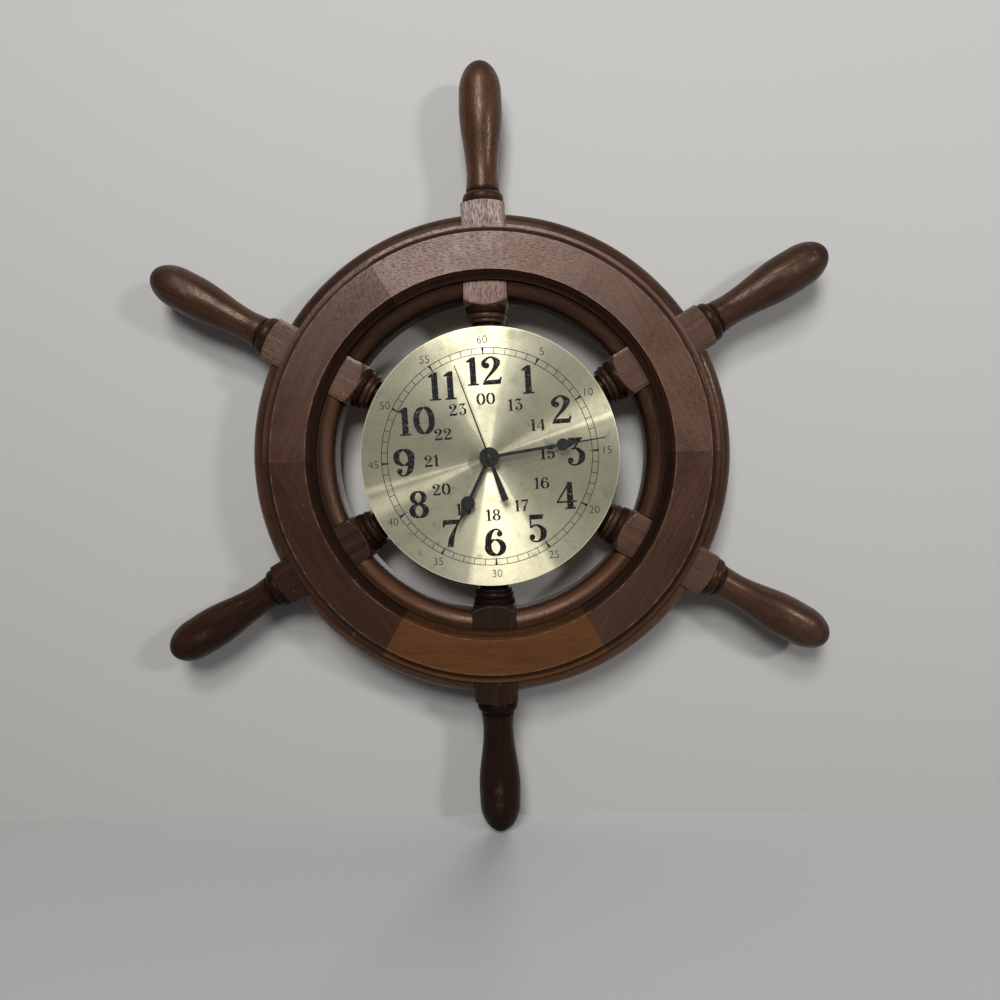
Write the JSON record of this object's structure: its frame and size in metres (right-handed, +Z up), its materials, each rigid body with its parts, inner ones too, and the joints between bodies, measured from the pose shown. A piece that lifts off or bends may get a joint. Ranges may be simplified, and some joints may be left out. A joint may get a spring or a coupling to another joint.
{
  "type": "ship wheel wall clock",
  "caption": "Wooden ship's wheel wall clock with turned handles, a round brass dial, black spade hands and a battery movement behind the hub.",
  "frame": {"origin": "point where the wheel's axis meets the wall, on the plane of the back facings", "axes": "+Z up, -Y out of the wall towards the viewer, +X to the viewer's right"},
  "size_m": [0.3974, 0.0417, 0.4566],
  "materials": {
    "dark_wood": "stained, satin lacquer",
    "red_wood": "stained, satin lacquer",
    "brass": "sunburst brushed",
    "black_enamel": "satin",
    "black_aluminium": "black enamel, satin",
    "bonded_magnet": "moulded",
    "black_plastic": "moulded",
    "rubber": "matte",
    "battery_jacket": "gloss",
    "plated_steel": "plated",
    "copper": "enamelled wire",
    "nylon": "moulded",
    "board": "satin"
  },
  "bodies": {
    "wheel": {"spoke_1": "dark_wood", "spoke_2": "dark_wood", "spoke_3": "dark_wood", "spoke_4": "dark_wood", "spoke_5": "dark_wood", "spoke_6": "dark_wood", "felloe_1": "dark_wood", "felloe_2": "dark_wood", "felloe_3": "dark_wood", "felloe_4": "dark_wood", "felloe_5": "dark_wood", "felloe_6": "dark_wood", "front_facing_1": "red_wood", "front_facing_2": "red_wood", "front_facing_3": "red_wood", "front_facing_4": "red_wood", "front_facing_5": "red_wood", "front_facing_6": "red_wood", "back_facing_1": "red_wood", "back_facing_2": "red_wood", "back_facing_3": "red_wood", "back_facing_4": "red_wood", "back_facing_5": "red_wood", "back_facing_6": "red_wood", "hub": "dark_wood", "dial": "brass", "movement_case": "black_plastic", "movement_cover": "black_plastic", "shaft_gasket": "rubber", "shaft_washer": "brass", "shaft_nut": "brass", "battery": "battery_jacket", "battery_contact_plus": "plated_steel", "battery_contact_minus": "plated_steel", "drive_coil": "copper", "stator": "plated_steel", "circuit_board": "board", "quartz_crystal": "plated_steel", "hanger_plate": "brass", "hanger_screw_1": "plated_steel", "hanger_screw_2": "plated_steel"},
    "minute_body": {"minute_hand": "black_enamel", "centre_wheel": "nylon"},
    "hour_body": {"hour_hand": "black_enamel", "hour_wheel": "nylon"},
    "second_body": {"second_hand": "black_aluminium", "second_wheel": "nylon"},
    "third_body": {"third_wheel": "nylon"},
    "intermediate_body": {"intermediate_wheel": "nylon"},
    "rotor_body": {"rotor": "bonded_magnet"},
    "motion_body": {"motion_wheel": "nylon"},
    "knob_body": {"set_knob": "black_plastic"}
  },
  "joints": [
    {"name": "minute_turn", "type": "hinge", "parent": "wheel", "child": "minute_body", "pos_m": [0, -0.02, 0], "axis": [0, 1, 0], "continuous": true},
    {"name": "hour_turn", "type": "hinge", "parent": "wheel", "child": "hour_body", "pos_m": [0, -0.02, 0], "axis": [0, 1, 0], "continuous": true},
    {"name": "second_turn", "type": "hinge", "parent": "wheel", "child": "second_body", "pos_m": [0, -0.02, 0], "axis": [0, 1, 0], "continuous": true},
    {"name": "third_turn", "type": "hinge", "parent": "wheel", "child": "third_body", "pos_m": [-0.0051, -0.02, 0.00883], "axis": [0, 1, 0], "continuous": true},
    {"name": "intermediate_turn", "type": "hinge", "parent": "wheel", "child": "intermediate_body", "pos_m": [0.00789, -0.02, 0.00287], "axis": [0, 1, 0], "continuous": true},
    {"name": "rotor_turn", "type": "hinge", "parent": "wheel", "child": "rotor_body", "pos_m": [0.01298, -0.02, 0.00796], "axis": [0, 1, 0], "continuous": true},
    {"name": "motion_turn", "type": "hinge", "parent": "wheel", "child": "motion_body", "pos_m": [-0.0096, -0.02, 0], "axis": [0, 1, 0], "continuous": true},
    {"name": "knob_turn", "type": "hinge", "parent": "wheel", "child": "knob_body", "pos_m": [-0.01639, -0.02, 0.00679], "axis": [0, 1, 0], "continuous": true}
  ],
  "couplings": [
    {"joint": "hour_turn", "follows": "minute_turn", "ratio": 0.083333},
    {"joint": "second_turn", "follows": "minute_turn", "ratio": 60},
    {"joint": "third_turn", "follows": "minute_turn", "ratio": -8},
    {"joint": "intermediate_turn", "follows": "minute_turn", "ratio": -360},
    {"joint": "rotor_turn", "follows": "minute_turn", "ratio": 1800},
    {"joint": "motion_turn", "follows": "minute_turn", "ratio": -0.33333},
    {"joint": "knob_turn", "follows": "minute_turn", "ratio": 1}
  ]
}
